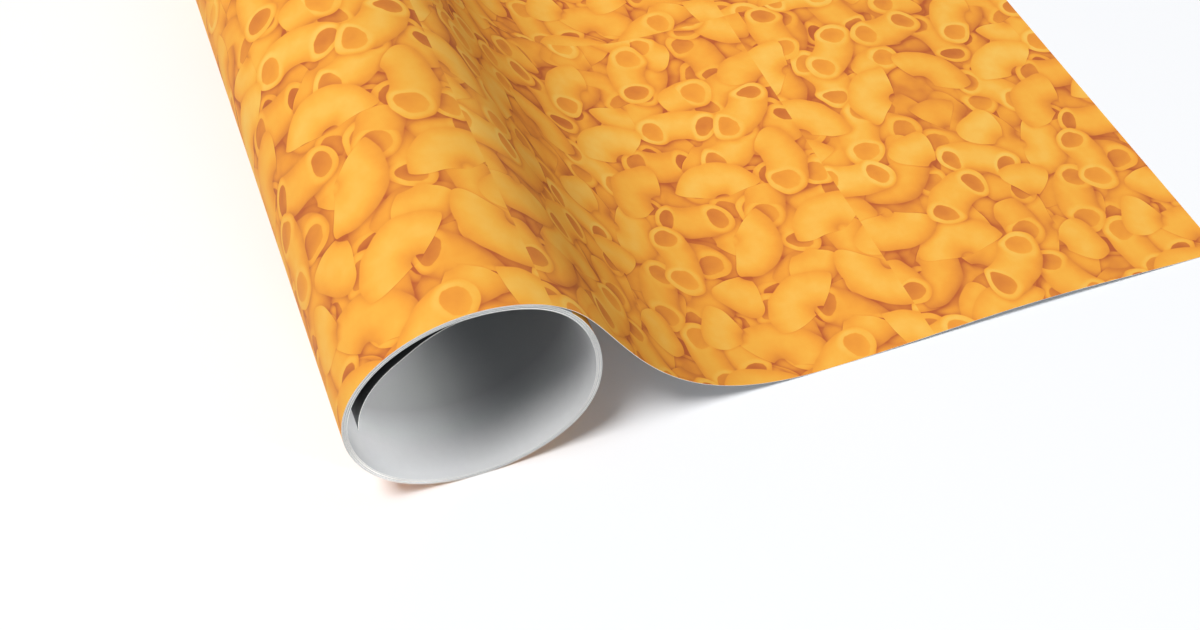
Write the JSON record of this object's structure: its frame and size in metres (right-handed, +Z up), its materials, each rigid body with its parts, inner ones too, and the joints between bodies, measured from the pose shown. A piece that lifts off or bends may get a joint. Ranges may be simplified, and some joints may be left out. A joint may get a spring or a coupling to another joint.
{
  "type": "wrapping paper roll",
  "caption": "Partly unrolled hollow roll of gift wrapping paper: one thin sheet, printed outside and plain inside, whose outer end drops off the roll in an S and lies flat.",
  "frame": {"origin": "centre of the bounding box at the level of the table that the roll lies on", "axes": "+Z up, +Y along the roll, +X from the roll towards the loose end of the sheet"},
  "size_m": [0.2524, 0.737, 0.0633],
  "materials": {
    "printed_paper": null
  },
  "bodies": {
    "root": {"paper_sheet": "printed_paper"}
  },
  "joints": []
}
